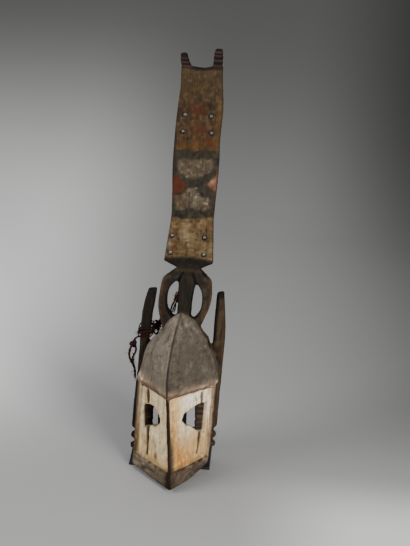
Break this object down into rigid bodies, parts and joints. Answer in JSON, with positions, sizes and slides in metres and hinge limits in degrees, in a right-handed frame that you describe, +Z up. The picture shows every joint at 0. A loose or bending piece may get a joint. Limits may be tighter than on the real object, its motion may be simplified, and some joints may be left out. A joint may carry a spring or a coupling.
{
  "type": "crest mask on a stand",
  "caption": "Carved wooden helmet mask with a prow-shaped painted face, upright side bars, an open loop and a tall notched plank above, held up by a black post on a base plate.",
  "frame": {"origin": "middle of the base plate's underside, on the surface that the stand stands on", "axes": "+Z up along the mask's height, -Y the way the face looks, +X to the right as seen from the front"},
  "size_m": [0.227, 0.3292, 1.0352],
  "materials": {
    "aged_wood": "old dry wood, dark and worn, with kaolin white on the face panels and traces of black and red on the plank",
    "black_steel": "satin black paint on flat steel",
    "plant_fibre": "dark reddish twisted bark fibre, frayed"
  },
  "bodies": {
    "root": {"mask": "aged_wood", "stand_base": "black_steel", "stand_post": "black_steel", "fibre_cord": "plant_fibre", "fibre_strand": "plant_fibre", "fibre_end": "plant_fibre"}
  },
  "joints": []
}
